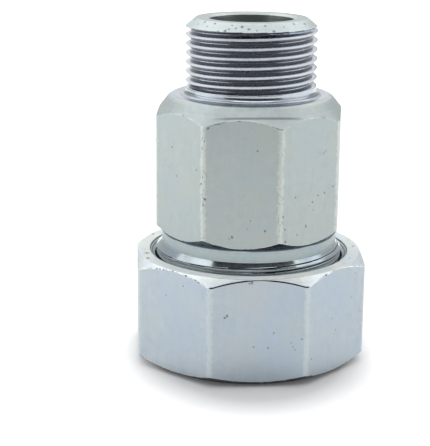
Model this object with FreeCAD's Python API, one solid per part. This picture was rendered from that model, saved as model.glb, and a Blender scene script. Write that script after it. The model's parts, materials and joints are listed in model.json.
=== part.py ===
import FreeCAD, Part
import os
from math import cos, pi, radians, sin, tan

# Threaded pipe coupling of zinc plated steel, standing on its nut.
# An octagonal body carries a male G1 pipe thread on top and a pipe socket below.
# An octagonal compression nut screws onto the body's lower thread. It presses a split
# toothed grip ring and a rubber seal, through a thrust washer, onto a steel pipe.
# Millimetres. Origin: centre of the nut's lower face, +Z up along the pipe axis.
# Threads are drawn as plain cylinders at their crest or clear diameter.

# Steel pipe that the coupling holds, and the radial room around it
pipe_d = 33.7
socket_room = 0.4
seal_room = 0.2
grip_room = 0.2
washer_room = 0.45

# Male pipe thread on top, size G1, and the bore through it
stud_thread_d = 33.249
stud_length = 17.8
stud_chamfer_width = 2.45
stud_chamfer_height = 2.1
bore_d = 21.5
bore_chamfer = 0.5

# Body: drawn octagonal bar, turned above and below its flats
flats_step = 0.4
body_corner_round = 1.5
flats_height = 30.2
underside_angle = 45.0
shoulder_ledge = 4.2
shoulder_top_angle = 22.0
shoulder_side_angle = 49.0
body_turn = -10.0

# Pipe socket inside the body
socket_depth = 23.0

# Thread between body and nut, with its run-out neck
thread_height = 1.4
thread_length = 14.5
thread_lead_in = 1.2
thread_room = 0.3
relief_angle = 45.0
neck_length = 3.2

# Compression nut: drawn octagonal bar
nut_wall = 5.0
nut_corner_round = 2.2
nut_height = 27.8
nut_floor = 3.5
nut_top_angle = 40.0
nut_face_inset = 0.15
nut_foot_inset = 2.3
nut_foot_angle = 30.0
mouth_rim = 1.8
mouth_angle = 45.0
entry_chamfer = 0.8

# Split grip ring with saw teeth inside, seated in the nut's cone
grip_height = 6.6
grip_foot_wall = 1.75
grip_cone_angle = 20.0
grip_split = 3.0
grip_teeth = 3
grip_tooth_height = 0.8
grip_tooth_face = 0.4
seat_gap = 0.3
seat_top_drop = 0.6

# Thrust washer and rubber seal ring
washer_thickness = 2.0
washer_edge_room = 0.3
seal_wall = 3.6
seal_gap = 0.15
seal_proud = 1.8
seal_tip = 1.6
recess_depth = 4.8
recess_wall = 1.8
recess_angle = 45.0

# Radii that follow from the pipe outwards
pipe_r = pipe_d / 2
socket_r = pipe_r + socket_room
washer_inner_r = pipe_r + washer_room
grip_inner_r = pipe_r + grip_room
seal_inner_r = pipe_r + seal_room
seal_outer_r = seal_inner_r + seal_wall
recess_r = seal_outer_r + seal_gap
relief_r = recess_r + recess_wall
washer_outer_r = relief_r - washer_edge_room
thread_r = relief_r + thread_height
nut_thread_r = thread_r + thread_room
mouth_r = thread_r + mouth_rim
body_flat_r = relief_r + flats_step
nut_flat_r = thread_r + nut_wall
stud_r = stud_thread_d / 2
bore_r = bore_d / 2

# The two octagonal bars
bar_sides = 8
corner_ratio = 1 / cos(pi / bar_sides)
body_corner_r = body_flat_r * corner_ratio
nut_corner_r = nut_flat_r * corner_ratio
beyond_bar = 1.0

# Heights, stacked from the nut's lower face
grip_low = nut_floor + seat_gap
grip_top = grip_low + grip_height
washer_top = grip_top + washer_thickness
body_end = washer_top + seal_proud
thread_top = body_end + thread_length
neck_low = thread_top + thread_height * tan(radians(relief_angle))
neck_top = neck_low + neck_length
shoulder_low = neck_top + flats_height
shoulder_break_r = stud_r + shoulder_ledge
shoulder_break = shoulder_low + (body_corner_r - shoulder_break_r) * tan(radians(shoulder_side_angle))
stud_root = shoulder_break + shoulder_ledge * tan(radians(shoulder_top_angle))
body_top = stud_root + stud_length
recess_top = body_end + recess_depth
socket_mouth = recess_top + (recess_r - socket_r) * tan(radians(recess_angle))
pipe_stop = socket_mouth + socket_depth

# The cone that the nut and the grip ring share, a gap apart
grip_slope = tan(radians(grip_cone_angle))
grip_foot_r = grip_inner_r + grip_foot_wall
grip_top_r = grip_foot_r + grip_height * grip_slope
seat_top = grip_top - seat_top_drop
seat_top_r = grip_foot_r + seat_gap + (seat_top - grip_low) * grip_slope
seat_foot_r = grip_foot_r + seat_gap + (nut_floor - grip_low) * grip_slope

AXIS = FreeCAD.Vector(0, 0, 1)
ORIGIN = FreeCAD.Vector(0, 0, 0)


def turned(half_section):
    """Solid of revolution about Z. Each corner of the half section is (radius, height)."""
    corners = [FreeCAD.Vector(r, 0, z) for r, z in half_section]
    outline = Part.makePolygon(corners + corners[:1])
    return Part.Face(outline).revolve(ORIGIN, AXIS, 360)


def octagonal_bar(flat_r, corner_round, low, high, turn):
    """Drawn bar with one flat facing -Y before it is turned, and rounded corners."""
    corner_r = flat_r * corner_ratio
    angles = [radians(turn) + (k + 0.5) * 2 * pi / bar_sides for k in range(bar_sides)]
    corners = [FreeCAD.Vector(corner_r * sin(a), -corner_r * cos(a), low) for a in angles]
    outline = Part.makePolygon(corners + corners[:1])
    bar = Part.Face(outline).extrude(FreeCAD.Vector(0, 0, high - low))
    upright = [e for e in bar.Edges if abs(e.BoundBox.ZLength - (high - low)) < 0.001]
    return bar.makeFillet(corner_round, upright)


def coupling_body():
    """Male stud, rounded shoulder, octagonal flats, neck and spigot, bored for the pipe."""
    outer_r = body_corner_r + beyond_bar
    over_chamfer = neck_top + (outer_r - relief_r) * tan(radians(underside_angle))
    under_shoulder = shoulder_low - beyond_bar * tan(radians(shoulder_side_angle))
    outside = [
        (thread_r - thread_lead_in, body_end),
        (thread_r, body_end + thread_lead_in),
        (thread_r, thread_top),
        (relief_r, neck_low),
        (relief_r, neck_top),
        (outer_r, over_chamfer),
        (outer_r, under_shoulder),
        (shoulder_break_r, shoulder_break),
        (stud_r, stud_root),
        (stud_r, body_top - stud_chamfer_height),
        (stud_r - stud_chamfer_width, body_top),
    ]
    inside = [
        (bore_r + bore_chamfer, body_top),
        (bore_r, body_top - bore_chamfer),
        (bore_r, pipe_stop),
        (socket_r, pipe_stop),
        (socket_r, socket_mouth),
        (recess_r, recess_top),
        (recess_r, body_end),
    ]
    blank = turned(outside + inside)
    low = neck_top - neck_length / 2
    height = body_top - low + beyond_bar
    waste = Part.makeCylinder(outer_r + beyond_bar, height, FreeCAD.Vector(0, 0, low))
    bar = octagonal_bar(body_flat_r, body_corner_round, low, low + height, body_turn)
    return blank.cut(waste.cut(bar))


def compression_nut():
    """Octagonal nut with its mouth up, a cone for the grip ring and a floor with a pipe hole."""
    outer_r = nut_corner_r + beyond_bar
    face_r = nut_flat_r - nut_face_inset
    foot_r = nut_flat_r - nut_foot_inset
    half_section = [
        (foot_r, 0),
        (outer_r, (outer_r - foot_r) * tan(radians(nut_foot_angle))),
        (outer_r, nut_height - (outer_r - face_r) * tan(radians(nut_top_angle))),
        (face_r, nut_height),
        (mouth_r, nut_height),
        (nut_thread_r, nut_height - (mouth_r - nut_thread_r) * tan(radians(mouth_angle))),
        (nut_thread_r, seat_top),
        (seat_top_r, seat_top),
        (seat_foot_r, nut_floor),
        (socket_r, nut_floor),
        (socket_r, entry_chamfer),
        (socket_r + entry_chamfer, 0),
    ]
    bar = octagonal_bar(nut_flat_r, nut_corner_round, 0, nut_height, 0)
    return turned(half_section).common(bar)


def grip_ring():
    """Hardened ring, split at the back, coned outside, with saw teeth that bite the pipe."""
    tooth_pitch = grip_height / grip_teeth
    root_r = grip_inner_r + grip_tooth_height
    teeth = []
    for k in range(grip_teeth):
        top = grip_top - k * tooth_pitch
        teeth.append((root_r, top))
        teeth.append((grip_inner_r, top - grip_tooth_face))
    outside = [(root_r, grip_low), (grip_foot_r, grip_low), (grip_top_r, grip_top)]
    ring = turned(outside + teeth)
    gap_corner = FreeCAD.Vector(-grip_split / 2, 0, grip_low)
    gap = Part.makeBox(grip_split, grip_top_r + beyond_bar, grip_height, gap_corner)
    return ring.cut(gap)


def thrust_washer():
    """Flat steel ring between the grip ring and the seal."""
    return turned([
        (washer_inner_r, grip_top),
        (washer_outer_r, grip_top),
        (washer_outer_r, washer_top),
        (washer_inner_r, washer_top),
    ])


def seal_ring():
    """Rubber ring with a coned end, half pressed into the body's recess."""
    tip_r = seal_inner_r + seal_tip
    cone_low = recess_top - seal_gap
    cone_top = cone_low + (seal_outer_r - tip_r) * tan(radians(recess_angle))
    return turned([
        (seal_inner_r, washer_top),
        (seal_outer_r, washer_top),
        (seal_outer_r, cone_low),
        (tip_r, cone_top),
        (seal_inner_r, cone_top),
    ])


nodes = {
    "coupling_body": coupling_body(),
    "compression_nut": compression_nut(),
    "grip_ring": grip_ring(),
    "thrust_washer": thrust_washer(),
    "seal_ring": seal_ring(),
}

os.makedirs("parts", exist_ok=True)
for name, shape in nodes.items():
    shape.exportStep("parts/" + name + ".step")
    print(name, "volume", round(shape.Volume, 1), "valid", shape.isValid(), "top", round(shape.BoundBox.ZMax, 2))
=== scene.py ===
import json
import math

import bmesh
import bpy
import numpy as np
from mathutils import Matrix, Vector
from mathutils.bvhtree import BVHTree


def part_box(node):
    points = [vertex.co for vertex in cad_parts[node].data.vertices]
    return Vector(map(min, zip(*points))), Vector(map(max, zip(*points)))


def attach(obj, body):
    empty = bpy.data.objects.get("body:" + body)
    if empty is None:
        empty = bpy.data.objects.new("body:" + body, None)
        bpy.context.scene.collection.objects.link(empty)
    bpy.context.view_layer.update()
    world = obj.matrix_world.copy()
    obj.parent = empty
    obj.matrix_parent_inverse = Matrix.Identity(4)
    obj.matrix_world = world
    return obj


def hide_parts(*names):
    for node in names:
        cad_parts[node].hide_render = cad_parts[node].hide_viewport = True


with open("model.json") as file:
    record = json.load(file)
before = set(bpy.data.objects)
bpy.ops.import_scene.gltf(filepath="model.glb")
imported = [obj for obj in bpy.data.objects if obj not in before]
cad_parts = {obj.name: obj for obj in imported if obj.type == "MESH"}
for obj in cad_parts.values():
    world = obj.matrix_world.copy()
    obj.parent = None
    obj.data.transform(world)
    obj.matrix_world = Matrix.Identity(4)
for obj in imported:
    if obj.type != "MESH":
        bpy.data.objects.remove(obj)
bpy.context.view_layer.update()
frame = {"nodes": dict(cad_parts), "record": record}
MM, DIGITS = 0.001, 4
SIDES = 8
FULL_TURN = 2 * math.pi
SECTOR = FULL_TURN / SIDES
HALF = SECTOR / 2


def extent(node):
    """Lowest and highest corner of a node in millimetres, without the frame's last digits."""
    return [[round(c / MM, DIGITS) for c in corner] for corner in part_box(node)]


# Sizes of the part in millimetres that the frame has
mount_r = {mount["name"]: mount["dims"].get("r_mm") for mount in frame["record"]["mounts"]}
STUD_R, BORE_R, SOCKET_R = mount_r["stud_thread"], mount_r["stud_bore"], mount_r["pipe_socket"]
(_, _, SPIGOT_END), (_, _, TOP) = extent("coupling_body")
NUT_FLAT, _, NUT_TOP = extent("compression_nut")[1]
(_, _, GRIP_LOW), (_, _, GRIP_TOP) = extent("grip_ring")

# The other sizes, as the part's source has them: first radii, from the nut's flats inwards
NUT_WALL, RIM_INSET, FOOT_INSET, MOUTH_RIM = 5.0, 0.15, 2.3, 1.8
THREAD_HEIGHT, THREAD_ROOM, FLATS_STEP, RECESS_WALL = 1.4, 0.3, 0.4, 1.8
RIM_R, FOOT_R, CREST_R = NUT_FLAT - RIM_INSET, NUT_FLAT - FOOT_INSET, NUT_FLAT - NUT_WALL
MOUTH_R, NUT_THREAD_R, RELIEF_R = CREST_R + MOUTH_RIM, CREST_R + THREAD_ROOM, CREST_R - THREAD_HEIGHT
BODY_FLAT, RECESS_R = RELIEF_R + FLATS_STEP, RELIEF_R - RECESS_WALL
BODY_CORNER = BODY_FLAT / math.cos(HALF)

# Then heights, from the body's lower end up, and the seat in the nut from the grip ring
THREAD_LENGTH, NECK_LENGTH, FLATS_HEIGHT = 14.5, 3.2, 30.2
RECESS_DEPTH, SOCKET_DEPTH, SEAT_GAP, SEAT_DROP = 4.8, 23.0, 0.3, 0.6
COLLAR_Z = SPIGOT_END + THREAD_LENGTH
NECK_LOW = COLLAR_Z + THREAD_HEIGHT
NECK_TOP = NECK_LOW + NECK_LENGTH
SHOULDER_LOW = NECK_TOP + FLATS_HEIGHT
RECESS_TOP = SPIGOT_END + RECESS_DEPTH
SOCKET_MOUTH = RECESS_TOP + (RECESS_R - SOCKET_R)
PIPE_STOP = SOCKET_MOUTH + SOCKET_DEPTH
NUT_FLOOR, SEAT_FOOT_R = GRIP_LOW - SEAT_GAP, 18.99
SEAT_TOP, SEAT_TOP_R = GRIP_TOP - SEAT_DROP, 21.28

# Roundings, turns, chamfers and threads
BODY_ROUND, BODY_TURN, NUT_ROUND, NUT_TURN = 1.5, math.radians(-10.0), 2.2, 0.0
SPIGOT_LEAD, BORE_LEAD, FOOT_LEAD = 1.2, 0.5, 0.8
BROW_SLOPE, FOOT_SLOPE = math.radians(40), math.radians(30)
CHAMFER_WIDE, CHAMFER_HIGH = 2.45, 2.1
CHAMFER_SLOPE, STUD_EDGE = CHAMFER_HIGH / CHAMFER_WIDE, TOP - CHAMFER_HIGH
G1_PITCH, G1_DEPTH, NUT_PITCH = 2.309, 1.479, 2.0

# Forms that the photograph shows and the source leaves out: the slope of the shoulder, a low crown given as
# (radius, height) whose first corners still have the shoulder's finish, a hollow fillet up to the stud with
# dark rings on some of its steps, painted shade of fine grooves that the mesh does not cut and a painted
# dark reflection in the hollow, and small steps in the nut's mouth given as (distance inwards, depth)
SHOULDER_SLOPE, SHOULDER_CORNERS, CROWN_ROUND = math.radians(46), 2, 2.2
CROWN = ((21.2, 67.7), (20.6, 68.25), (19.8, 68.58), (19.0, 68.6))
FILLET_R, FILLET_LOW, FILLET_STEPS, FILLET_PAINTED_RINGS = 1.6, 68.4, 20, (3, 10, 15)
MOUTH_BORE, MOUTH_DEPTH, MOUTH_REACH = 24.5, 2.6, 9
MOUTH_STEPS = ((0.22, 0.3), (0.55, 0.6), (0.68, 0.78))

# The camera stands where the photograph was taken from, in its frame of 430 by 446 pixels
YAW, PITCH, ROLL, REACH, HEIGHT, FOCAL = -0.026737, 0.263938, 0.008762, 329.1455, 123.0872, 1304.6105
CENTRE_U, CENTRE_V, FRAME_HIGH = 215.0, 223.0, 446
SENSOR_HIGH, NEAREST = 24, 0.01
VIEW_TURN = math.degrees(0.09534)


# Camera
def make_camera():
    """The photograph's camera. Returns its place and its turn."""
    turn = Matrix.Rotation(-math.radians(VIEW_TURN), 3, "Z")
    ahead = Vector((math.sin(YAW) * math.cos(PITCH), math.cos(YAW) * math.cos(PITCH), -math.sin(PITCH)))
    right = Vector((math.cos(YAW), -math.sin(YAW), 0))
    up = right.cross(ahead)
    right, up = math.cos(ROLL) * right + math.sin(ROLL) * up, math.cos(ROLL) * up - math.sin(ROLL) * right
    lens = bpy.data.cameras.new("camera")
    lens.sensor_fit, lens.sensor_height = "VERTICAL", SENSOR_HIGH
    lens.lens = FOCAL * SENSOR_HIGH / FRAME_HIGH
    lens.clip_start = NEAREST
    camera = bpy.data.objects.new("camera", lens)
    bpy.context.scene.collection.objects.link(camera)
    rotation = Matrix((turn @ right, turn @ up, turn @ -ahead)).transposed()
    camera.matrix_world = Matrix.Translation(turn @ Vector((0, -REACH, HEIGHT)) * MM) @ rotation.to_4x4()
    bpy.context.scene.camera = camera
    return camera.matrix_world.translation.copy(), rotation


EYE, LOOK = make_camera()


def sight(tree, u, v):
    """Point of a piece, in millimetres, behind a pixel of the photograph, or None."""
    ray = LOOK @ Vector(((u - CENTRE_U) / FOCAL, (CENTRE_V - v) / FOCAL, -1))
    hit = tree.ray_cast(EYE, ray.normalized())[0]
    return hit / MM if hit else None


# Meshes
def outline(flat_r, corner_round, turn, per_flat, per_corner):
    """Angles of the mesh columns round an octagonal bar, and the bar's radius at each.
    Angle 0 is the front, -Y, and angles grow towards +X."""
    reach = (flat_r - corner_round) * math.tan(HALF)
    edge = math.atan2(reach, flat_r)
    steps = list(np.linspace(-edge, edge, per_flat + 1)[:-1])
    steps += list(np.linspace(edge, SECTOR - edge, per_corner + 1)[:-1])
    angles = np.array([turn + k * SECTOR + s for k in range(SIDES) for s in steps])
    angles = np.append(angles, angles[0] + FULL_TURN)
    delta = (angles - turn + HALF) % SECTOR - HALF
    centre = (flat_r - corner_round) / math.cos(HALF)
    beta = HALF - np.abs(delta)
    arc = centre * np.cos(beta) + np.sqrt(np.maximum(corner_round**2 - (centre * np.sin(beta)) ** 2, 0))
    return angles, np.where(np.abs(delta) <= edge, flat_r / np.cos(delta), arc)


class Loft:
    """Rows of a half section, each with a radius and a height for every column."""

    # A rounding takes at most this share of the shorter run beside it; a fine one has the finish of an edge
    RUN_SHARE, FINE, LEAST_BEND, TINY = 0.45, 0.5, 0.05, 1e-9
    CURVE = (0, 0.25, 0.5, 0.75, 1)
    MERGED, SLIVER, SHARP, WEIGHT = 2e-6, 1e-7, math.radians(40), 80

    def __init__(self, angles):
        self.angles, self.rows = angles, []

    def path(self, corners):
        """Corners are (r, z, rounding, finish of the run that follows, rows added on that run)."""
        full = np.ones_like(self.angles)
        points = [np.stack([c[0] * full, c[1] * full]) for c in corners]
        for k, (corner, point) in enumerate(zip(corners, points)):
            rounding, tag, extra = corner[2], corner[3], corner[4]
            ahead = points[k + 1] if k + 1 < len(points) else None
            if rounding and 0 < k < len(points) - 1:
                back, front = points[k - 1] - point, ahead - point
                lb, lf = np.hypot(*back), np.hypot(*front)
                cosine = np.clip((back * front).sum(0) / np.maximum(lb * lf, self.TINY), -1, 1)
                reach = rounding / np.tan(np.maximum(np.arccos(cosine) / 2, self.LEAST_BEND))
                reach = np.minimum(reach, self.RUN_SHARE * np.minimum(lb, lf))
                start, end = point + back / lb * reach, point + front / lf * reach
                between = "edge" if rounding < self.FINE else tag
                for t in self.CURVE:
                    mix = (1 - t) ** 2 * start + 2 * t * (1 - t) * point + t * t * end
                    self.rows.append((mix[0], mix[1], tag if t == 1 else between))
                point = end
            else:
                self.rows.append((point[0], point[1], tag))
            if ahead is not None:
                for j in range(extra):
                    t = (j + 1) / (extra + 1)
                    mix = point * (1 - t) + ahead * t
                    self.rows.append((mix[0], mix[1], tag))

    def helix(self, low, high, pitch, per_pitch, start, radius, tag, downward=False):
        """Rows that follow a right-hand helix between two heights; radius(z, phase, angle) gives the surface.
        The tag is a finish, or a function of radius, height and angle that gives each vertex its own."""
        turn = pitch * (self.angles - self.angles[0]) / FULL_TURN
        first = int(math.floor((low - start) / pitch * per_pitch)) - per_pitch - 1
        last = int(math.ceil((high - start) / pitch * per_pitch)) + 1
        phase0 = pitch * self.angles[0] / FULL_TURN
        rows = []
        for j in range(first, last + 1):
            z = np.clip(start + phase0 + j * pitch / per_pitch + turn, low, high)
            phase = ((z - start) / pitch - self.angles / FULL_TURN) % 1.0
            r = radius(z, phase, self.angles)
            rows.append((r, z, tag(r, z, self.angles) if callable(tag) else tag))
        self.rows += rows[::-1] if downward else rows

    def build(self, name, slots):
        """Mesh of all rows, closed into a ring; slots gives each finish its material slot."""
        n = len(self.angles)
        r = np.array([row[0] for row in self.rows]) * MM
        z = np.array([row[1] for row in self.rows]) * MM
        co = np.stack([r * np.sin(self.angles), -r * np.cos(self.angles), z], -1).reshape(-1, 3)
        m = len(self.rows)
        faces, index = [], []
        for j in range(m):
            a, b = j * n, ((j + 1) % m) * n
            tags = np.broadcast_to(self.rows[j][2], n)
            for i in range(n - 1):
                faces.append((a + i, a + i + 1, b + i + 1, b + i))
                index.append(slots[str(tags[i])])
        mesh = bpy.data.meshes.new(name)
        mesh.from_pydata(co.tolist(), [], faces)
        for _ in slots:
            mesh.materials.append(None)
        mesh.polygons.foreach_set("material_index", index)
        bm = bmesh.new()
        bm.from_mesh(mesh)
        bmesh.ops.remove_doubles(bm, verts=bm.verts, dist=self.MERGED)
        bmesh.ops.dissolve_degenerate(bm, dist=self.SLIVER, edges=bm.edges)
        bmesh.ops.recalc_face_normals(bm, faces=bm.faces)
        for face in bm.faces:
            face.smooth = True
        bm.to_mesh(mesh)
        bm.free()
        obj = bpy.data.objects.new(name, mesh)
        bpy.context.scene.collection.objects.link(obj)
        mesh.set_sharp_from_angle(angle=self.SHARP)
        weighted = obj.modifiers.new("weighted", "WEIGHTED_NORMAL")
        weighted.keep_sharp = True
        weighted.weight = self.WEIGHT
        return obj


# Threads. The pipe thread's depth and rounding are shares of its pitch
PIPE_DEPTH, PIPE_ROUND, PIPE_FLANK = 0.640327, 0.137329, math.radians(27.5)
VEE_FLANK, VEE_LEAST = math.radians(30), 0.05

# A crest of each thread passes a known height at a known side of the photograph
G1_CREST_Z, NUT_CREST_Z = 85.68, 26.95
G1_START = G1_CREST_Z + G1_PITCH * (90 + VIEW_TURN) / 360
NUT_START = NUT_CREST_Z + NUT_PITCH * VIEW_TURN / 360

# The pipe thread grows to its depth above the fillet and fades out in the chamfer; its crests are cut flat
STUD_RUN_IN, STUD_RUN_OUT, CREST_CUT = (70.1, 70.9), (85.8, 85.15), 0.16
LEAD_BELOW, LEAD_SKIN = 0.35, 0.05

# The thread between body and nut gets shallow below the collar, most of all on the left. A thin line of it
# runs out on the cone above. In the nut it starts a little above the seat
FULL_GROOVE, LAST_GROOVE, SHALLOW_SHARE = 1.1, 0.40, 0.3
SPIGOT_RUN_OUT, SIDE_TURN, SIDE_SPAN = (25.0, 27.2), 0.1, (-0.1, 0.3)
LINE_Z, LINE_CLIMB, LINE_TURN, LINE_HALF, LINE_DEPTH = 29.03, 0.47, math.radians(9.5), 0.13, 0.14
NUT_RUN_IN, NUT_CREST_SINK = (10.2, 11.4), 0.24


def pipe_thread(phase, crest, pitch):
    """55 degree pipe thread: rounded crest at phase 0 and rounded root at a half."""
    depth, rounding = PIPE_DEPTH * pitch, PIPE_ROUND * pitch
    half = rounding * math.cos(PIPE_FLANK)
    x = np.abs((phase + 0.5) % 1.0 - 0.5) * pitch
    at_crest = rounding - np.sqrt(np.maximum(rounding**2 - x**2, 0))
    y = pitch / 2 - x
    at_root = depth - rounding + np.sqrt(np.maximum(rounding**2 - y**2, 0))
    on_flank = rounding * (1 - math.sin(PIPE_FLANK)) + (x - half) / math.tan(PIPE_FLANK)
    drop = np.where(x < half, at_crest, np.where(y < half, at_root, on_flank))
    return crest - drop


def vee(phase, crest, pitch, depth):
    """60 degree grooves of the given depth, centred at phase a half, between broad crests."""
    from_groove = pitch / 2 - np.abs((phase + 0.5) % 1.0 - 0.5) * pitch
    return crest - np.clip(depth - from_groove / math.tan(VEE_FLANK), 0, depth - VEE_LEAST)


def fade(z, start, end):
    """Smooth step from 0 at the start to 1 at the end."""
    t = np.clip((z - start) / (end - start), 0, 1)
    return t * t * (3 - 2 * t)


def stud_surface(z, phase, angle):
    """Male pipe thread, from its run-in above the fillet to the end chamfer."""
    threaded = np.minimum(pipe_thread(phase, STUD_R + CREST_CUT, G1_PITCH), STUD_R)
    depth = fade(z, *STUD_RUN_IN) * fade(z, *STUD_RUN_OUT)
    r = STUD_R - (STUD_R - threaded) * depth
    return np.minimum(r, STUD_R - (z - STUD_EDGE) / CHAMFER_SLOPE)


def stud_finish(r, z, angle):
    """The end chamfer keeps its turned finish between the grooves, and a little way below its edge."""
    chamfer = np.minimum(STUD_R - (z - STUD_EDGE) / CHAMFER_SLOPE, STUD_R)
    return np.where((z > STUD_EDGE - LEAD_BELOW) & (r > chamfer - LEAD_SKIN), "lead", "stud")


def groove_depth(z, angle):
    """The thread runs out: its grooves get shallow towards the collar, soonest on the left."""
    to_right = fade(np.sin(angle + SIDE_TURN), *SIDE_SPAN)
    last = LAST_GROOVE * (SHALLOW_SHARE + (1 - SHALLOW_SHARE) * to_right)
    return FULL_GROOVE - (FULL_GROOVE - last) * fade(z, *SPIGOT_RUN_OUT)


def off_line(z, angle):
    """Height above the thin line where the thread runs out on the cone, a little askew."""
    return z - LINE_Z - LINE_CLIMB * np.sin(angle - LINE_TURN)


def spigot_surface(z, phase, angle):
    """Male thread that goes into the nut, with its lead below, and the cone and the thin line above."""
    threaded = vee(phase, CREST_R, NUT_PITCH, groove_depth(z, angle))
    lead = CREST_R - SPIGOT_LEAD + (z - SPIGOT_END)
    cone = CREST_R - (z - COLLAR_Z) * (CREST_R - RELIEF_R) / (NECK_LOW - COLLAR_Z)
    line = LINE_DEPTH * np.clip(1 - np.abs(off_line(z, angle)) / LINE_HALF, 0, 1)
    return np.minimum(np.minimum(threaded, lead), cone) - line


def crossed_by_line(tag):
    """Finish of a run that the thin line crosses."""
    return lambda r, z, angle: np.where(np.abs(off_line(z, angle)) < LINE_HALF, "line", tag)


def nut_surface(z, phase, angle):
    """Thread in the nut, opened by a cone and a short bore under the mouth."""
    threaded = vee(phase, CREST_R, NUT_PITCH, groove_depth(z, angle)) + NUT_CREST_SINK
    r = NUT_THREAD_R - (NUT_THREAD_R - np.minimum(threaded, NUT_THREAD_R)) * fade(z, *NUT_RUN_IN)
    opened = MOUTH_BORE - np.clip(NUT_TOP - MOUTH_DEPTH - z, 0, MOUTH_REACH)
    return np.maximum(r, opened)


# The two shells. Heights at which one run of mesh rows ends and the next one starts lie a small step apart
BODY_SLOTS = {"flats": 0, "edge": 1, "shoulder": 2, "neck": 3, "cone": 4, "under": 5, "spigot": 6, "stud": 7,
              "lead": 8, "face": 9, "bore": 10, "crown": 11, "line": 12, "ring": 13}
NUT_SLOTS = {"flats": 0, "edge": 1, "brow": 2, "rim": 3, "thread": 4, "foot": 5, "mouth": 6, "lip": 7}
BODY_COLUMNS, NUT_COLUMNS = (24, 6), (26, 6)
COARSE_ROWS, FINE_ROWS, STUD_ROWS, NUT_ROWS = 14, 28, 20, 12
COARSE_TO, FINE_FROM, SMALL_STEP, STEP, LARGE_STEP = 26.5, 26.51, 0.01, 0.02, 0.1
NUT_THREAD_LOW = 10.0


def crown_fillet():
    """Corners of the hollow fillet from the crown up to the stud; the runs after three of them get painted
    dark rings.
    """
    corners = []
    for k in range(FILLET_STEPS + 1):
        turn = math.pi / 2 * k / FILLET_STEPS
        r, z = STUD_R + FILLET_R * (1 - math.sin(turn)), FILLET_LOW + FILLET_R * (1 - math.cos(turn))
        corners.append((r, z, 0, "ring" if k in FILLET_PAINTED_RINGS else "crown", 0))
    return corners


def make_body():
    """The coupling body, from its lower end up the outside and down the bore."""
    angles, bar = outline(BODY_FLAT, BODY_ROUND, BODY_TURN, *BODY_COLUMNS)
    under = NECK_TOP + (bar - RELIEF_R)
    side = SHOULDER_LOW + (BODY_CORNER - bar) * math.tan(SHOULDER_SLOPE)
    root = STUD_EDGE + G1_DEPTH * CHAMFER_SLOPE
    loft = Loft(angles)
    loft.helix(SPIGOT_END, COARSE_TO, NUT_PITCH, COARSE_ROWS, NUT_START, spigot_surface, "spigot")
    loft.helix(FINE_FROM, COLLAR_Z, NUT_PITCH, FINE_ROWS, NUT_START, spigot_surface,
               crossed_by_line("spigot"))
    loft.helix(COLLAR_Z + SMALL_STEP, NECK_LOW - STEP, NUT_PITCH, FINE_ROWS, NUT_START, spigot_surface,
               crossed_by_line("cone"))
    loft.path([
        (RELIEF_R, NECK_LOW, 0, "neck", 3),
        (RELIEF_R, NECK_TOP, 0.9, "under", 0),
        (bar, under, 0.2, "flats", 9),
        (bar, side, 0.25, "shoulder", 4),
        *((r, z, CROWN_ROUND, "shoulder" if k < SHOULDER_CORNERS else "crown", 0)
          for k, (r, z) in enumerate(CROWN)),
        *crown_fillet(),
    ])
    loft.helix(FILLET_LOW + FILLET_R + LARGE_STEP, root, G1_PITCH, STUD_ROWS, G1_START, stud_surface,
               stud_finish)
    loft.path([
        (STUD_R - (root + STEP - STUD_EDGE) / CHAMFER_SLOPE, root + STEP, 0, "lead", 1),
        (STUD_R - CHAMFER_WIDE, TOP, 0.12, "face", 3),
        (BORE_R + BORE_LEAD, TOP, 0.12, "lead", 0),
        (BORE_R, TOP - BORE_LEAD, 0.1, "bore", 6),
        (BORE_R, PIPE_STOP, 0, "bore", 1),
        (SOCKET_R, PIPE_STOP, 0.2, "bore", 4),
        (SOCKET_R, SOCKET_MOUTH, 0.1, "bore", 1),
        (RECESS_R, RECESS_TOP, 0.1, "bore", 1),
        (RECESS_R, SPIGOT_END, 0, "spigot", 1),
    ])
    return loft.build("body_shell", BODY_SLOTS)


def make_nut():
    """The nut, from its foot up the outside, over the rim and down the thread to the seat."""
    angles, bar = outline(NUT_FLAT, NUT_ROUND, NUT_TURN, *NUT_COLUMNS)
    foot = (bar - FOOT_R) * math.tan(FOOT_SLOPE)
    brow = NUT_TOP - (bar - RIM_R) * math.tan(BROW_SLOPE)
    mouth_low = NUT_TOP - (MOUTH_R - MOUTH_BORE)
    steps = [(MOUTH_R - across, NUT_TOP - down) for across, down in MOUTH_STEPS]
    loft = Loft(angles)
    loft.path([
        (SOCKET_R + FOOT_LEAD, 0, 0, "foot", 2),
        (FOOT_R, 0, 0.2, "foot", 1),
        (bar, foot, 0.25, "flats", 9),
        (bar, brow, 0.42, "brow", 2),
        (RIM_R, NUT_TOP, 0.1, "rim", 3),
        (MOUTH_R, NUT_TOP, 0.08, "lip", 0),
        (*steps[0], 0, "mouth", 1),
        (*steps[1], 0, "lip", 0),
        (*steps[2], 0, "mouth", 1),
        (MOUTH_BORE, mouth_low, 0.08, "thread", 1),
    ])
    loft.helix(NUT_THREAD_LOW, mouth_low - LARGE_STEP, NUT_PITCH, NUT_ROWS, NUT_START, nut_surface, "thread",
               downward=True)
    loft.path([
        (NUT_THREAD_R, SEAT_TOP + LARGE_STEP, 0, "thread", 0),
        (NUT_THREAD_R, SEAT_TOP, 0, "thread", 1),
        (SEAT_TOP_R, SEAT_TOP, 0.15, "thread", 2),
        (SEAT_FOOT_R, NUT_FLOOR, 0.15, "thread", 1),
        (SOCKET_R, NUT_FLOOR, 0.1, "thread", 1),
        (SOCKET_R, FOOT_LEAD, 0.1, "foot", 0),
    ])
    return loft.build("nut_shell", NUT_SLOTS)


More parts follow.
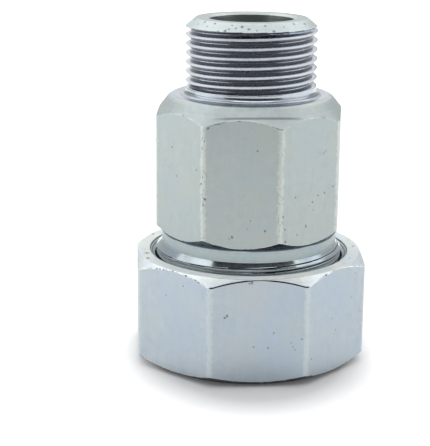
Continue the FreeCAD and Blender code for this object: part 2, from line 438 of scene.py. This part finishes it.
# Node trees
class Nodes:
    """Short calls for building a node tree."""

    def __init__(self, name):
        self.material = bpy.data.materials.new(name)
        self.material.use_nodes = True
        self.tree = self.material.node_tree
        self.tree.nodes.clear()
        self.shader = self.tree.nodes.new("ShaderNodeBsdfPrincipled")
        out = self.tree.nodes.new("ShaderNodeOutputMaterial")
        self.tree.links.new(self.shader.outputs[0], out.inputs[0])
        self.place = self.tree.nodes.new("ShaderNodeTexCoord").outputs["Object"]

    def put(self, socket, value):
        if isinstance(value, bpy.types.NodeSocket):
            self.tree.links.new(value, socket)
        elif value is not None:
            socket.default_value = value

    def math(self, kind, a, b=None):
        node = self.tree.nodes.new("ShaderNodeMath")
        node.operation = kind
        for socket, value in zip(node.inputs, (a, b)):
            self.put(socket, value)
        return node.outputs[0]

    def vector(self, kind, a, b=None):
        node = self.tree.nodes.new("ShaderNodeVectorMath")
        node.operation = kind
        self.put(node.inputs[0], a)
        if kind == "SCALE":
            self.put(node.inputs["Scale"], b)
        elif b is not None:
            self.put(node.inputs[1], b)
        return node.outputs["Value"] if kind in ("LENGTH", "DISTANCE") else node.outputs[0]

    def noise(self, place, scale, detail=2.0, roughness=0.5, colour=False):
        node = self.tree.nodes.new("ShaderNodeTexNoise")
        self.put(node.inputs["Vector"], place)
        node.inputs["Scale"].default_value = scale
        node.inputs["Detail"].default_value = detail
        node.inputs["Roughness"].default_value = roughness
        return node.outputs[1 if colour else 0]

    def ramp(self, value, stops):
        node = self.tree.nodes.new("ShaderNodeValToRGB")
        self.put(node.inputs[0], value)
        for element, (at, colour) in zip(node.color_ramp.elements, stops):
            element.position = at
            element.color = (*colour, 1)
        return node.outputs[0]

    def span(self, value, low, high, to_low=0.0, to_high=1.0):
        node = self.tree.nodes.new("ShaderNodeMapRange")
        self.put(node.inputs[0], value)
        for k, v in enumerate((low, high, to_low, to_high)):
            node.inputs[k + 1].default_value = v
        return node.outputs[0]

    def mix(self, factor, a, b):
        node = self.tree.nodes.new("ShaderNodeMix")
        node.data_type = "RGBA"
        self.put(node.inputs[0], factor)
        self.put(node.inputs[6], a if isinstance(a, bpy.types.NodeSocket) else (*a, 1))
        self.put(node.inputs[7], b if isinstance(b, bpy.types.NodeSocket) else (*b, 1))
        return node.outputs[2]

    def bump(self, height, distance):
        node = self.tree.nodes.new("ShaderNodeBump")
        node.inputs["Distance"].default_value = distance
        self.put(node.inputs["Height"], height)
        return node.outputs[0]

    def axes(self, place):
        node = self.tree.nodes.new("ShaderNodeSeparateXYZ")
        self.put(node.inputs[0], place)
        return node.outputs

    def join(self, x, y, z):
        node = self.tree.nodes.new("ShaderNodeCombineXYZ")
        for socket, value in zip(node.inputs, (x, y, z)):
            self.put(socket, value)
        return node.outputs[0]

    def millimetres(self):
        """Place on the piece in millimetres: the vector, then its x, y and z."""
        mm = self.vector("SCALE", self.place, 1 / MM)
        return (mm, *self.axes(mm))

    def radius(self, place):
        """Distance from the axis."""
        return self.vector("LENGTH", self.vector("MULTIPLY", place, (1.0, 1.0, 0.0)))

    def azimuth(self, x, y):
        """Angle about the axis, 0 at the front, -Y, and growing towards +X."""
        return self.math("ARCTAN2", x, self.math("MULTIPLY", y, -1.0))

    def finish(self, colour, rough, height, depth, metallic=1.0):
        """Colour, roughness and a bump whose depth is in millimetres."""
        self.put(self.shader.inputs["Base Color"], colour)
        self.put(self.shader.inputs["Roughness"], rough)
        self.put(self.shader.inputs["Normal"], self.bump(height, depth * MM))
        self.shader.inputs["Metallic"].default_value = metallic
        return self.material


# Materials, with lengths in millimetres. A thin dark line lies level across the shoulder's front. EVEN is the
# span in which most values of a noise lie, and FINE_RINGS and BROAD_RINGS are the scales of turned rings
MARK_TILT, MARK_LEVEL, MARK_HALF, MARK_CORE = 0.186, 61.88, 0.42, 0.3
MARK_END, MARK_FADE, MARK_DARK = -20.0, 1.5, 0.6
BLOTCH_COOL, BLOTCH_WARM, PIT_DARK = (0.92, 0.98, 1.06), (1.03, 1.01, 0.95), (0.10, 0.11, 0.11)
BAR_BLOTCH, TURNED_BLOTCH, PIT_COVER = 0.55, 0.5, 0.75
BAR_TONES, TURNED_TONES, EDGE_WORN = (0.90, 1.08), (0.88, 1.1), 0.72
PIT_CELLS, PIT_LARGEST, PIT_WOBBLE, PIT_CORE, SCATTER = 0.23, 0.075, 0.55, 0.45, 0.8
BAR_SPARSE, EDGE_SPARSE = 0.16, 0.1
BAR_DEPTH, EDGE_DEPTH, THREAD_DEPTH, RUBBER_DEPTH = 0.022, 0.03, 0.008, 0.04
CORNER_RAGGED, CORNER_WORN, CORNER_SPAN, SPECK_SPAN = 0.35, 0.65, (0.95, 0.45), (1.1, 0.6)
# Painted shade under each thread crest: its phases, how much it covers and how ragged its edge is
UNDER_CREST_SHADE_FROM, UNDER_CREST_SHADE_TO, UNDER_CREST_SHADE_COVER, UNDER_CREST_SHADE_RAGGED = (0.46, 0.50), (0.86, 0.78), 0.9, 0.012
CREST_FROM, CREST_FULL, CREST_RAGGED, SCORE_COVER, SCORE_COLOUR = 0.12, 0.03, 0.05, 0.25, (0.03, 0.03, 0.04)
THREAD_ROUGH, EDGE_ROUGH, RUBBER_ROUGH = (0.19, 0.28), (0.3, 0.45), (0.45, 0.7)
EVEN, FLAT_WIDTH, FINE_RINGS, BROAD_RINGS = (0.3, 0.7), 0.01, 3.2, 2.4


def shaded(colour, share):
    """The colour, darker or lighter by a share."""
    return tuple(min(c * share, 1.0) for c in colour)


def tinted(colour, tint):
    """The colour, each channel multiplied by the tint's."""
    return tuple(c * t for c, t in zip(colour, tint))


def pits(n, mm, marks, sparse):
    """Mask of small dark pits: the ones given as (point, size) and a sparse scatter of others."""
    drift = n.vector("SUBTRACT", n.noise(mm, scale=2.6, detail=1.0, colour=True), (0.5, 0.5, 0.5))
    place = n.vector("ADD", mm, n.vector("SCALE", drift, PIT_WOBBLE))
    cells = n.tree.nodes.new("ShaderNodeTexVoronoi")
    cells.inputs["Scale"].default_value = PIT_CELLS
    n.put(cells.inputs["Vector"], place)
    size = n.span(n.axes(cells.outputs["Color"])[0], 1.0 - sparse, 1.0, 0.0, PIT_LARGEST)
    total = n.math("MULTIPLY", n.math("LESS_THAN", cells.outputs["Distance"], size), SCATTER)
    for point, size in marks:
        gap = n.vector("DISTANCE", place, tuple(point))
        total = n.math("MAXIMUM", total, n.span(gap, size, size * PIT_CORE))
    return total


def drawn_bar(name, base, flat_r, turn, marks, corner=(0.56, 0.60, 0.56), rough=0.36, chipped=0.9):
    """Zinc plated flats of drawn bar: soft mottling, faint streaks, pits, and worn corners with specks."""
    n = Nodes(name)
    mm, x, y, z = n.millimetres()
    cloud = n.noise(mm, scale=0.085)
    patch = n.noise(n.vector("ADD", mm, (40.0, 7.0, 90.0)), scale=0.11, detail=3.0, roughness=0.55)
    small = n.noise(mm, scale=0.42, detail=3.0, roughness=0.6)
    grain = n.noise(mm, scale=2.7, roughness=0.65)
    streak = n.noise(n.vector("MULTIPLY", mm, (1.0, 1.0, 0.06)), scale=0.9)
    tone = n.math("ADD", n.math("MULTIPLY", small, 0.5), n.math("MULTIPLY", grain, 0.32))
    tone = n.math("ADD", tone, n.math("MULTIPLY", streak, 0.18))
    colour = n.mix(n.span(tone, 0.34, 0.66), *(shaded(base, share) for share in BAR_TONES))
    colour = n.mix(n.span(cloud, 0.46, 0.68, 0.0, BAR_BLOTCH), colour, tinted(base, BLOTCH_COOL))
    colour = n.mix(n.span(patch, 0.50, 0.68, 0.0, BAR_BLOTCH), colour, tinted(base, BLOTCH_WARM))
    sector = n.math("FRACT", n.math("DIVIDE", n.math("SUBTRACT", n.azimuth(x, y), turn), SECTOR))
    off_corner = n.math("ABSOLUTE", n.math("SUBTRACT", sector, 0.5))
    off_corner = n.math("MULTIPLY", off_corner, SECTOR * flat_r / math.cos(HALF))
    drift = n.span(n.noise(mm, scale=0.9), *EVEN, -CORNER_RAGGED, CORNER_RAGGED)
    ragged = n.math("ADD", off_corner, drift)
    colour = n.mix(n.span(ragged, *CORNER_SPAN, 0.0, CORNER_WORN), colour, corner)
    speck = n.noise(n.vector("MULTIPLY", mm, (1.0, 1.0, 0.7)), scale=1.9, roughness=0.7)
    wear = n.span(n.noise(mm, scale=0.16), 0.42, 0.56, chipped / 6, chipped)
    at_corner = n.math("MULTIPLY", n.span(ragged, *SPECK_SPAN), wear)
    specks = n.math("MULTIPLY", n.span(speck, 0.57, 0.66), at_corner)
    pitted = n.math("MAXIMUM", pits(n, mm, marks, BAR_SPARSE), specks)
    colour = n.mix(n.math("MULTIPLY", pitted, PIT_COVER), colour, PIT_DARK)
    height = n.math("SUBTRACT", n.math("MULTIPLY", small, 0.8), n.math("MULTIPLY", pitted, 1.6))
    height = n.math("ADD", height, n.math("MULTIPLY", grain, 0.25))
    return n.finish(colour, n.span(tone, *EVEN, rough - 0.04, rough + 0.06), height, BAR_DEPTH)


def turned(name, base, rough, marks=(), sparse=0.02, rings=FINE_RINGS, depth=0.010, brushed=0.0,
           mark=False):
    """Zinc plated turned face: fine rings about the axis, faint blotches and a few pits.
    The shoulder also has a thin dark level line across its front."""
    n = Nodes(name)
    mm, x, y, z = n.millimetres()
    ring = n.noise(n.join(n.radius(mm), z, 0.0), scale=rings, detail=3.0, roughness=0.65)
    cloud = n.noise(mm, scale=0.14, detail=3.0, roughness=0.55)
    small = n.noise(mm, scale=0.7, detail=3.0, roughness=0.6)
    tone = n.math("ADD", n.math("MULTIPLY", small, 0.5), n.math("MULTIPLY", ring, 0.5))
    colour = n.mix(n.span(tone, 0.32, 0.68), *(shaded(base, share) for share in TURNED_TONES))
    colour = n.mix(n.span(cloud, 0.48, 0.66, 0.0, TURNED_BLOTCH), colour, tinted(base, BLOTCH_COOL))
    colour = n.mix(n.span(cloud, 0.46, 0.32, 0.0, TURNED_BLOTCH), colour, tinted(base, BLOTCH_WARM))
    if mark:
        level = n.math("ADD", z, n.math("MULTIPLY", y, MARK_TILT))
        off = n.math("ABSOLUTE", n.math("SUBTRACT", level, MARK_LEVEL))
        across = n.span(off, MARK_HALF, MARK_HALF * MARK_CORE)
        line = n.math("MULTIPLY", across, n.span(y, MARK_END, MARK_END - MARK_FADE))
        colour = n.mix(n.math("MULTIPLY", line, MARK_DARK), colour, PIT_DARK)
    pitted = pits(n, mm, marks, sparse)
    colour = n.mix(n.math("MULTIPLY", pitted, PIT_COVER), colour, PIT_DARK)
    height = n.math("SUBTRACT", ring, n.math("MULTIPLY", pitted, 2.0))
    if brushed:
        tangent = n.tree.nodes.new("ShaderNodeTangent")
        tangent.direction_type, tangent.axis = "RADIAL", "Z"
        n.put(n.shader.inputs["Tangent"], tangent.outputs[0])
        n.shader.inputs["Anisotropic"].default_value = brushed
    return n.finish(colour, n.span(tone, *EVEN, rough - 0.03, rough + 0.05), height, depth)


def thread(name, crest, groove, root, crest_r, pitch, start):
    """Cut thread: bright crests, duller flanks with fine scored lines, and painted shade that darkens the
    side under each crest."""
    n = Nodes(name)
    mm, x, y, z = n.millimetres()
    radius = n.radius(mm)
    grain = n.noise(mm, scale=1.5, detail=3.0, roughness=0.6)
    scored = n.noise(n.join(radius, z, 0.0), scale=6.0, roughness=0.6)
    ragged = n.math("ADD", radius, n.span(grain, *EVEN, -CREST_RAGGED, CREST_RAGGED))
    climbed = n.math("DIVIDE", n.math("SUBTRACT", z, start), pitch)
    along = n.math("SUBTRACT", climbed, n.math("DIVIDE", n.azimuth(x, y), FULL_TURN))
    phase = n.math("FRACT", n.math("ADD", along, n.span(grain, *EVEN, -UNDER_CREST_SHADE_RAGGED, UNDER_CREST_SHADE_RAGGED)))
    # painted shade on the side under each crest, in the root colour
    under_crest_shade = n.math("MULTIPLY", n.span(phase, *UNDER_CREST_SHADE_FROM), n.span(phase, *UNDER_CREST_SHADE_TO))
    colour = n.mix(n.math("MULTIPLY", under_crest_shade, UNDER_CREST_SHADE_COVER), groove, root)
    colour = n.mix(n.span(ragged, crest_r - CREST_FROM, crest_r - CREST_FULL), colour, crest)
    colour = n.mix(n.span(scored, *EVEN, SCORE_COVER, 0.0), colour, SCORE_COLOUR)
    height = n.math("ADD", n.math("MULTIPLY", grain, 0.5), n.math("MULTIPLY", scored, 0.5))
    return n.finish(colour, n.span(grain, *EVEN, *THREAD_ROUGH), height, THREAD_DEPTH)


def burred_edge(name, bright, dark, turn, share, marks=()):
    """Thin turned edge: bright where it is clean, dark where a burr was left, and dark as a painted
    reflection over most of the front and the back flat."""
    n = Nodes(name)
    mm, x, y, z = n.millimetres()
    long = n.noise(mm, scale=0.22, detail=3.0, roughness=0.6)
    fine = n.noise(mm, scale=1.6, detail=3.0, roughness=0.7)
    broken = n.math("ADD", n.math("MULTIPLY", long, 0.6), n.math("MULTIPLY", fine, 0.4))
    facing = n.math("ABSOLUTE", n.math("COSINE", n.math("SUBTRACT", n.azimuth(x, y), turn)))
    # painted dark reflection: the share of dark on the edges over the front and back flats
    painted_reflection = n.span(facing, math.cos(HALF) - FLAT_WIDTH, math.cos(HALF) + FLAT_WIDTH, 0.0, share)
    burr_and_reflection = n.span(n.math("ADD", broken, painted_reflection), 0.54, 0.62)
    dirt_and_reflection = n.math("MAXIMUM", burr_and_reflection, pits(n, mm, marks, EDGE_SPARSE))
    wear = n.span(n.noise(mm, scale=0.8, detail=3.0, roughness=0.7), 0.42, 0.58)
    colour = n.mix(dirt_and_reflection, n.mix(wear, shaded(bright, EDGE_WORN), bright), dark)
    return n.finish(colour, n.span(fine, *EVEN, *EDGE_ROUGH), fine, EDGE_DEPTH)


def rubber(name):
    """Dull black rubber with a fine grain."""
    n = Nodes(name)
    grain = n.noise(n.millimetres()[0], scale=2.4, detail=3.0, roughness=0.6)
    colour = n.ramp(grain, [(0.3, (0.012, 0.012, 0.013)), (0.75, (0.035, 0.034, 0.033))])
    return n.finish(colour, n.span(grain, 0.2, 0.8, *RUBBER_ROUGH), grain, RUBBER_DEPTH, metallic=0.0)


# Pits and dents that the photograph shows, each as its pixel and its size in millimetres
def mark_row(u, v, step_u, step_v, size, count):
    """A straight scratch: marks of one size with even steps between them."""
    return [(u + step_u * k, v + step_v * k, size) for k in range(count)]


BODY_PITS = [
    (172, 147, 0.34), (196.6, 170, 0.32), (176.6, 176, 0.26), (166, 160, 0.22), (232, 237, 0.34),
    (265, 231, 0.38), (250.5, 220.6, 0.26), (257.6, 151, 0.26), (305.7, 226, 0.42), (324.5, 192.6, 0.3),
    (333, 186, 0.34), (318, 195.6, 0.26), (312.6, 202, 0.34), (295.5, 197.7, 0.3), (297, 235, 0.3),
    (204.6, 199, 0.4), (201, 184, 0.36), (284.7, 230, 0.36), (285.5, 242, 0.44), (283, 217, 0.3),
    (203, 205, 0.3), (281, 128, 0.4), (208, 128, 0.4), (219, 124, 0.3), (229, 239, 0.22), (309, 206, 0.22),
    (313, 210, 0.2), (247, 229, 0.2), (340, 185, 0.2),
]
BODY_DENTS = [(320 + 1.3 * k, 152.0 + 2.2 * math.sin(k), 0.14) for k in range(5)]
BODY_DENTS += mark_row(326.5, 150, -0.8, 1.1, 0.16, 5)
SHOULDER_PITS = [(178, 88, 0.58), (182, 98, 0.48), (210, 98, 0.54), (186, 93, 0.32), (215, 96, 0.32)]
FACE_PITS = [
    (242, 27, 0.56), (225, 31, 0.56), (218, 31.5, 0.4), (205, 22, 0.46), (215, 23.5, 0.4), (249, 29.5, 0.46),
    (274, 31.5, 0.5), (294, 24, 0.4), (305, 24, 0.44), (195, 19, 0.56), (236, 28.5, 0.36), (229, 29.5, 0.34),
    (232, 25.5, 0.3), (207, 26.5, 0.34), (265, 26, 0.34), (284, 27, 0.32), (198, 24, 0.34), (257, 31, 0.3),
]
NUT_PITS = [
    (252, 281, 0.4), (252, 282.6, 0.5), (249.5, 283.4, 0.3), (227, 316, 0.4), (225, 318, 0.3),
    (183, 286, 0.3), (166, 295, 0.26), (335.6, 330, 0.3), (334, 333, 0.22), (351, 297, 0.24),
    (293, 347, 0.26), (268, 348, 0.26), (253.5, 347, 0.26), (274, 333, 0.24), (302, 339, 0.22),
    (332, 318, 0.22), (360, 311, 0.26), (311.5, 359, 0.3), (291, 343, 0.2), (295, 350, 0.2),
]
NUT_PITS += mark_row(347, 268, 1.5, 0.9, 0.16, 7) + mark_row(202, 290, 0.2, 2.0, 0.15, 6)
EDGE_BURRS = [
    (251.5, 281, 1.1), (250, 282, 0.6), (254, 280.5, 0.7), (157, 268.5, 0.34), (160, 268.8, 0.3),
    (163.5, 269.7, 0.36), (231, 284, 0.5), (240, 282, 0.5), (272, 281, 0.5), (285, 283.5, 0.5),
    (337, 268, 0.5), (333, 270, 0.5), (326, 275, 0.5), (173, 271, 0.4), (186, 276, 0.4), (199, 284, 0.5),
]
RIM_PITS = [(147, 253, 0.64), (148, 258, 0.64), (153, 234, 0.58), (353, 246, 0.42), (350, 258, 0.35)]


def found(obj, pixels):
    """The given marks as (point in millimetres, size), each on the piece's own surface."""
    mesh = obj.data
    tree = BVHTree.FromPolygons([v.co for v in mesh.vertices], [p.vertices for p in mesh.polygons])
    points = [(sight(tree, u, v), size) for u, v, size in pixels]
    return [(point, size) for point, size in points if point]


body, nut = make_body(), make_nut()
for obj, cad_body, node, slot in ((body, "coupling", "coupling_body", "body_steel"),
                                  (nut, "nut", "compression_nut", "nut_steel")):
    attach(obj, cad_body)
    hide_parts(node)

BODY_BASE, NUT_BASE, NUT_CORNER = (0.385, 0.43, 0.425), (0.43, 0.485, 0.53), (0.53, 0.58, 0.59)
body_finish = {
    "flats": drawn_bar("body_flats_zinc", BODY_BASE, BODY_FLAT, BODY_TURN,
                       found(body, BODY_PITS + BODY_DENTS)),
    # the share is the edges' painted dark reflection over the front and back flats
    "edge": burred_edge("body_edge_zinc", bright=(0.70, 0.75, 0.72), dark=(0.16, 0.16, 0.15), turn=BODY_TURN,
                        share=0.06),
    "shoulder": turned("shoulder_zinc", (0.53, 0.59, 0.59), 0.44, found(body, SHOULDER_PITS), sparse=0.12,
                       rings=BROAD_RINGS, brushed=0.4, mark=True),
    "crown": turned("crown_zinc", (0.44, 0.485, 0.53), 0.2, sparse=0.04, rings=BROAD_RINGS, depth=0.004),
    # painted shade and painted reflection: dark rings on the crown's fillet, where the mesh has no grooves
    "ring": turned("crown_painted_groove_shade", (0.16, 0.18, 0.20), 0.30, sparse=0.04, rings=BROAD_RINGS,
                   depth=0.004),
    "neck": turned("neck_zinc", (0.335, 0.39, 0.40), 0.30, depth=0.006, brushed=0.5),
    # painted shade: the bar's underside over the neck, drawn near black
    "under": turned("under_painted_shade", (0.12, 0.14, 0.17), 0.26, depth=0.006),
    "cone": turned("cone_zinc", (0.51, 0.585, 0.63), 0.12, sparse=0.0, depth=0.002),
    # each thread's root colour is the painted shade under its crests
    "spigot": thread("spigot_thread_zinc", crest=(0.52, 0.57, 0.60), groove=(0.26, 0.29, 0.32),
                     root=(0.06, 0.065, 0.07), crest_r=CREST_R, pitch=NUT_PITCH, start=NUT_START),
    # painted shade: the thin line where the thread runs out on the cone, drawn near black
    "line": turned("line_painted_shade", (0.03, 0.035, 0.04), 0.35, depth=0.006),
    "stud": thread("stud_thread_zinc", crest=(0.52, 0.55, 0.59), groove=(0.66, 0.715, 0.79),
                   root=(0.03, 0.024, 0.028), crest_r=STUD_R, pitch=G1_PITCH, start=G1_START),
    "face": turned("face_zinc", (0.43, 0.475, 0.465), 0.42, found(body, FACE_PITS), sparse=0.16, brushed=0.4),
    "lead": turned("lead_zinc", (0.60, 0.665, 0.67), 0.42, found(body, FACE_PITS), sparse=0.3),
    "bore": turned("bore_zinc", (0.42, 0.47, 0.46), 0.34, sparse=0.12, rings=2.0, depth=0.03),
}
nut_finish = {
    "flats": drawn_bar("nut_flats_zinc", NUT_BASE, NUT_FLAT, NUT_TURN, found(nut, NUT_PITS),
                       corner=NUT_CORNER, rough=0.34, chipped=0.25),
    # the share is the edges' painted dark reflection over the front and back flats
    "edge": burred_edge("nut_edge_zinc", bright=(0.80, 0.85, 0.87), dark=(0.02, 0.022, 0.025), turn=NUT_TURN,
                        share=0.18, marks=found(nut, EDGE_BURRS)),
    "brow": turned("brow_zinc", (0.86, 0.93, 0.96), 0.36, sparse=0.05, rings=BROAD_RINGS, brushed=0.4),
    # painted light: the rim drawn near white, as lit from above
    "rim": turned("rim_zinc_painted_light", (0.95, 1.0, 1.0), 0.85, found(nut, RIM_PITS), sparse=0.12, rings=BROAD_RINGS),
    "mouth": turned("mouth_zinc", (0.74, 0.80, 0.80), 0.50, sparse=0.05),
    # painted shade: the dark steps at the edge of the nut's mouth
    "lip": turned("lip_painted_shade", (0.18, 0.20, 0.20), 0.40),
    # the thread's root colour is the painted shade under its crests
    "thread": thread("nut_thread_zinc", crest=(0.36, 0.39, 0.42), groove=(0.30, 0.33, 0.36),
                     root=(0.2, 0.22, 0.24), crest_r=NUT_THREAD_R, pitch=NUT_PITCH, start=NUT_START),
    # painted shade: the nut's underside, foot chamfer and bore lead drawn near black
    "foot": turned("foot_painted_shade", (0.12, 0.13, 0.14), 0.40, depth=0.008),
}
for obj, slots, finish in ((body, BODY_SLOTS, body_finish), (nut, NUT_SLOTS, nut_finish)):
    for tag, material in finish.items():
        obj.data.materials[slots[tag]] = material

ring_finish = {
    "grip_ring": turned("grip_hardened", (0.33, 0.32, 0.31), 0.36, sparse=0.05, depth=0.012),
    "thrust_washer": turned("washer_zinc", (0.60, 0.61, 0.60), 0.30, sparse=0.05),
    "seal_ring": rubber("seal_rubber"),
}
for name, material in ring_finish.items():
    piece = frame["nodes"][name]
    piece.data.materials.clear()
    piece.data.materials.append(material)


# Light and stage, in metres. Each glow of the floor is (near, far, strength at near, strength at far)
WHITE, DULL, WORLD_LEVEL = (1, 1, 1, 1), 0.9, 0.5
# FLOOR_AHEAD and FLOOR_WIDER move the floor's glow forwards and narrow it sideways; SHADOW_GLOW keeps it low
# at the part's foot, a painted shadow there
FLOOR_REACH, FLOOR_AHEAD, FLOOR_WIDER = 4, 0.004, 1.35
SHADOW_GLOW, FAR_GLOW = (0.0325, 0.045, 0.03, 0.47), (0.05, 0.45, 0.0, 0.3)
FRONT_LEFT, FRONT_RIGHT, FRONT_Y, FRONT_LOW, FRONT_TOP = -1.0, 0.95, -0.8, 0.02, 0.85
SIDE_X, SIDE_FAR, SIDE_LOW, SIDE_TOP, SIDE_FAR_TOP, SIDE_GLOW = 0.9, 3.9, 0.01, 0.85, 0.5, 0.5
ABOVE_HEIGHT, ABOVE_LEAN = 0.9, (math.radians(41), math.radians(49))
ABOVE_TURNS = np.radians(np.linspace(-24, 29, 9))


def panel(name, centre, aim, width, height, radiance, colour=(1, 1, 1)):
    """Rectangular lamp that faces a point. Its energy follows from its size and radiance."""
    lamp = bpy.data.lights.new(name, "AREA")
    lamp.shape, lamp.size, lamp.size_y = "RECTANGLE", width, height
    lamp.energy = radiance * math.pi * width * height
    lamp.color = colour
    obj = bpy.data.objects.new(name, lamp)
    bpy.context.scene.collection.objects.link(obj)
    obj.location = centre
    obj.rotation_euler = (Vector(aim) - Vector(centre)).to_track_quat("-Z", "Y").to_euler()
    obj.visible_camera = False


def plane(name, corners, material):
    """Flat piece of the stage with four corners."""
    mesh = bpy.data.meshes.new(name)
    mesh.from_pydata(corners, [], [(0, 1, 2, 3)])
    mesh.materials.append(material)
    obj = bpy.data.objects.new(name, mesh)
    bpy.context.scene.collection.objects.link(obj)
    return obj


def seen_directly(tree):
    """1 for camera, mirror and glass rays, else 0."""
    path = tree.nodes.new("ShaderNodeLightPath")
    total = path.outputs["Is Camera Ray"]
    for kind in ("Is Glossy Ray", "Is Transmission Ray"):
        add = tree.nodes.new("ShaderNodeMath")
        add.operation, add.use_clamp = "ADD", True
        tree.links.new(total, add.inputs[0])
        tree.links.new(path.outputs[kind], add.inputs[1])
        total = add.outputs[0]
    return total


def glowing(name, dark, light, scale, detail=2.0):
    """Dull cloth or paper with a faint grain between two colours, ready to glow white."""
    n = Nodes(name)
    n.shader.inputs["Roughness"].default_value = DULL
    n.shader.inputs["Emission Color"].default_value = WHITE
    grain = n.noise(n.place, scale=scale, detail=detail)
    n.put(n.shader.inputs["Base Color"], n.ramp(grain, list(zip(EVEN, (dark, light)))))
    return n


def make_floor():
    """White paper. Its own glow is low at the part's foot and grows away from it, which paints a shadow round
    the foot.
    """
    n = glowing("floor_paper", (0.86, 0.865, 0.87), (0.90, 0.905, 0.91), scale=30.0, detail=3.0)
    centred = n.vector("ADD", n.place, (0.0, FLOOR_AHEAD, 0.0))
    away = n.vector("LENGTH", n.vector("MULTIPLY", centred, (FLOOR_WIDER, 1.0, 1.0)))
    glow = n.math("ADD", n.span(away, *SHADOW_GLOW), n.span(away, *FAR_GLOW))
    n.put(n.shader.inputs["Emission Strength"], n.math("MULTIPLY", seen_directly(n.tree), glow))
    far = FLOOR_REACH
    plane("floor", [(-far, -far, 0), (far, -far, 0), (far, far, 0), (-far, far, 0)], n.material)


def mirrored_strip(height, leans, turns):
    """Strips of a card at the given height that the body's 45 degree cone mirrors to the camera, for points
    of the cone within some turns of the front. The two leans of its face bound the strip's width."""
    view = Vector((0, -math.cos(PITCH), math.sin(PITCH)))
    rows = []
    for turn in turns:
        row = []
        for lean in leans:
            face = Vector((math.sin(turn) * math.cos(lean), -math.cos(turn) * math.cos(lean), math.sin(lean)))
            ray = 2 * face.dot(view) * face - view
            row.append((ray.x / ray.z * height, ray.y / ray.z * height, height))
        rows.append(row)
    return [(a[0], b[0], b[1], a[1]) for a, b in zip(rows, rows[1:])]


def dark_card(name, corners, glow=0.0):
    """Dark or grey cloth that only mirror rays see, for the contrast of the metal."""
    n = glowing(name, (0.03, 0.03, 0.035), (0.05, 0.05, 0.055), scale=8.0)
    n.shader.inputs["Emission Strength"].default_value = glow
    card = plane(name, corners, n.material)
    card.visible_camera = card.visible_diffuse = card.visible_shadow = card.visible_transmission = False


def make_cards():
    """A dark card in front, dark strips above and a grey card on each side."""
    dark_card("dark_front", [(FRONT_LEFT, FRONT_Y, FRONT_LOW), (FRONT_RIGHT, FRONT_Y, FRONT_LOW),
                             (FRONT_RIGHT, FRONT_Y, FRONT_TOP), (FRONT_LEFT, FRONT_Y, FRONT_TOP)])
    for k, corners in enumerate(mirrored_strip(ABOVE_HEIGHT, ABOVE_LEAN, ABOVE_TURNS)):
        dark_card(f"dark_above_{k}", corners)
    for name, x, near in (("grey_left", -SIDE_X, 0.45), ("grey_right", SIDE_X, 0.4)):
        dark_card(name, [(x, near, SIDE_LOW), (x, SIDE_FAR, SIDE_LOW), (x, SIDE_FAR, SIDE_FAR_TOP),
                         (x, near, SIDE_TOP)], SIDE_GLOW)


def make_world():
    """White surroundings that light the part at half of the level at which they are seen."""
    world = bpy.data.worlds.new("studio")
    bpy.context.scene.world = world
    world.use_nodes = True
    tree = world.node_tree
    tree.nodes.clear()
    out = tree.nodes.new("ShaderNodeOutputWorld")
    background = tree.nodes.new("ShaderNodeBackground")
    level = tree.nodes.new("ShaderNodeMapRange")
    level.inputs[3].default_value, level.inputs[4].default_value = WORLD_LEVEL, 1.0
    tree.links.new(seen_directly(tree), level.inputs[0])
    tree.links.new(level.outputs[0], background.inputs[1])
    background.inputs[0].default_value = WHITE
    tree.links.new(background.outputs[0], out.inputs[0])


panel("top_light", centre=(0.0, 0.28, 0.85), aim=(0, 0, 0.03), width=1.5, height=1.2, radiance=0.42)
panel("front_light", centre=(0.0, -0.62, 0.9), aim=(0, 0, 0.05), width=1.1, height=0.3, radiance=1.4)
panel("left_light", centre=(-0.85, 0.1, 0.35), aim=(0, 0, 0.04), width=0.7, height=0.7, radiance=0.5,
      colour=(0.96, 0.99, 1.0))
panel("right_light", centre=(0.85, 0.05, 0.35), aim=(0, 0, 0.04), width=0.7, height=0.7, radiance=0.25,
      colour=(0.97, 0.99, 1.0))
make_floor()
make_cards()
make_world()
bpy.context.scene.view_settings.view_transform = "Standard"

print("triangles", {o.name: sum(len(p.vertices) - 2 for p in o.data.polygons) for o in (body, nut)})
